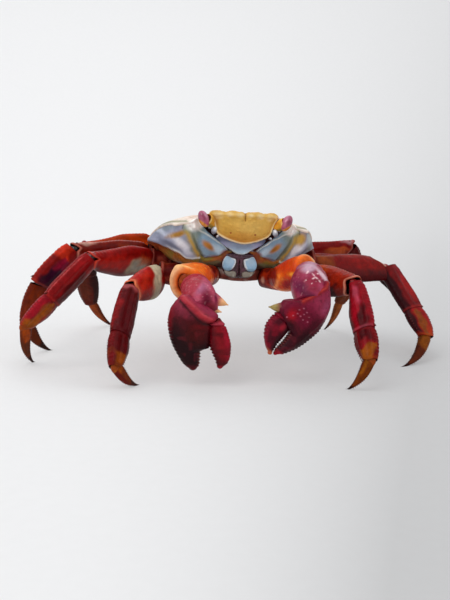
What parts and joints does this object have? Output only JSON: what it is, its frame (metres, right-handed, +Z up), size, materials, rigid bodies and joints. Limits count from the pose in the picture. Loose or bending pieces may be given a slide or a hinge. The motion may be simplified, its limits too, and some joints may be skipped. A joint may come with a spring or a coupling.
{
  "type": "shore crab",
  "caption": "Life-size red rock shore crab model standing on its walking legs, claws hanging in front, golden front plate and blue-grey flanks.",
  "frame": {"origin": "middle of the bounding box's underside, on the floor the crab stands on", "axes": "+X to the crab's own left, across its leg span; +Y to its rear, so the face looks along -Y; +Z up"},
  "size_m": [0.1907, 0.1269, 0.0672],
  "materials": {
    "carapace_shell": "satin shell, blue-grey flanks with ochre spots, golden front, red-brown back",
    "mouth_shell": "satin pale blue shell",
    "belly_shell": "satin brown and cream shell",
    "stalk_shell": "satin yellow-ochre shell",
    "eye": "glossy magenta-pink",
    "arm_shell": "satin orange shell",
    "wrist_shell": "glossy rose shell with pale granules",
    "claw_shell": "glossy crimson to maroon-black shell",
    "leg_shell": "satin crimson and orange-red shell",
    "leg_tip": "satin orange-brown shell, dark at the point"
  },
  "bodies": {
    "root": {"carapace": "carapace_shell", "mouth_frame": "mouth_shell", "maxilliped_right": "mouth_shell", "maxilliped_left": "mouth_shell", "sternum": "belly_shell", "abdomen": "belly_shell", "eyestalk_right": "stalk_shell", "eye_right": "eye", "claw_right_hip": "belly_shell", "claw_right_arm": "arm_shell", "claw_right_wrist": "wrist_shell", "claw_right_palm": "claw_shell", "claw_right_finger": "claw_shell", "eyestalk_left": "stalk_shell", "eye_left": "eye", "claw_left_hip": "belly_shell", "claw_left_arm": "arm_shell", "claw_left_wrist": "wrist_shell", "claw_left_palm": "claw_shell", "claw_left_finger": "claw_shell", "leg_right_1_hip": "belly_shell", "leg_right_1_merus": "leg_shell", "leg_right_1_carpus": "leg_shell", "leg_right_1_propodus": "leg_shell", "leg_right_1_dactyl": "leg_tip", "leg_right_2_hip": "belly_shell", "leg_right_2_merus": "leg_shell", "leg_right_2_carpus": "leg_shell", "leg_right_2_propodus": "leg_shell", "leg_right_2_dactyl": "leg_tip", "leg_right_3_hip": "belly_shell", "leg_right_3_merus": "leg_shell", "leg_right_3_carpus": "leg_shell", "leg_right_3_propodus": "leg_shell", "leg_right_3_dactyl": "leg_tip", "leg_right_4_hip": "belly_shell", "leg_right_4_merus": "leg_shell", "leg_right_4_carpus": "leg_shell", "leg_right_4_propodus": "leg_shell", "leg_right_4_dactyl": "leg_tip", "leg_left_1_hip": "belly_shell", "leg_left_1_merus": "leg_shell", "leg_left_1_carpus": "leg_shell", "leg_left_1_propodus": "leg_shell", "leg_left_1_dactyl": "leg_tip", "leg_left_2_hip": "belly_shell", "leg_left_2_merus": "leg_shell", "leg_left_2_carpus": "leg_shell", "leg_left_2_propodus": "leg_shell", "leg_left_2_dactyl": "leg_tip", "leg_left_3_hip": "belly_shell", "leg_left_3_merus": "leg_shell", "leg_left_3_carpus": "leg_shell", "leg_left_3_propodus": "leg_shell", "leg_left_3_dactyl": "leg_tip", "leg_left_4_hip": "belly_shell", "leg_left_4_merus": "leg_shell", "leg_left_4_carpus": "leg_shell", "leg_left_4_propodus": "leg_shell", "leg_left_4_dactyl": "leg_tip"}
  },
  "joints": []
}
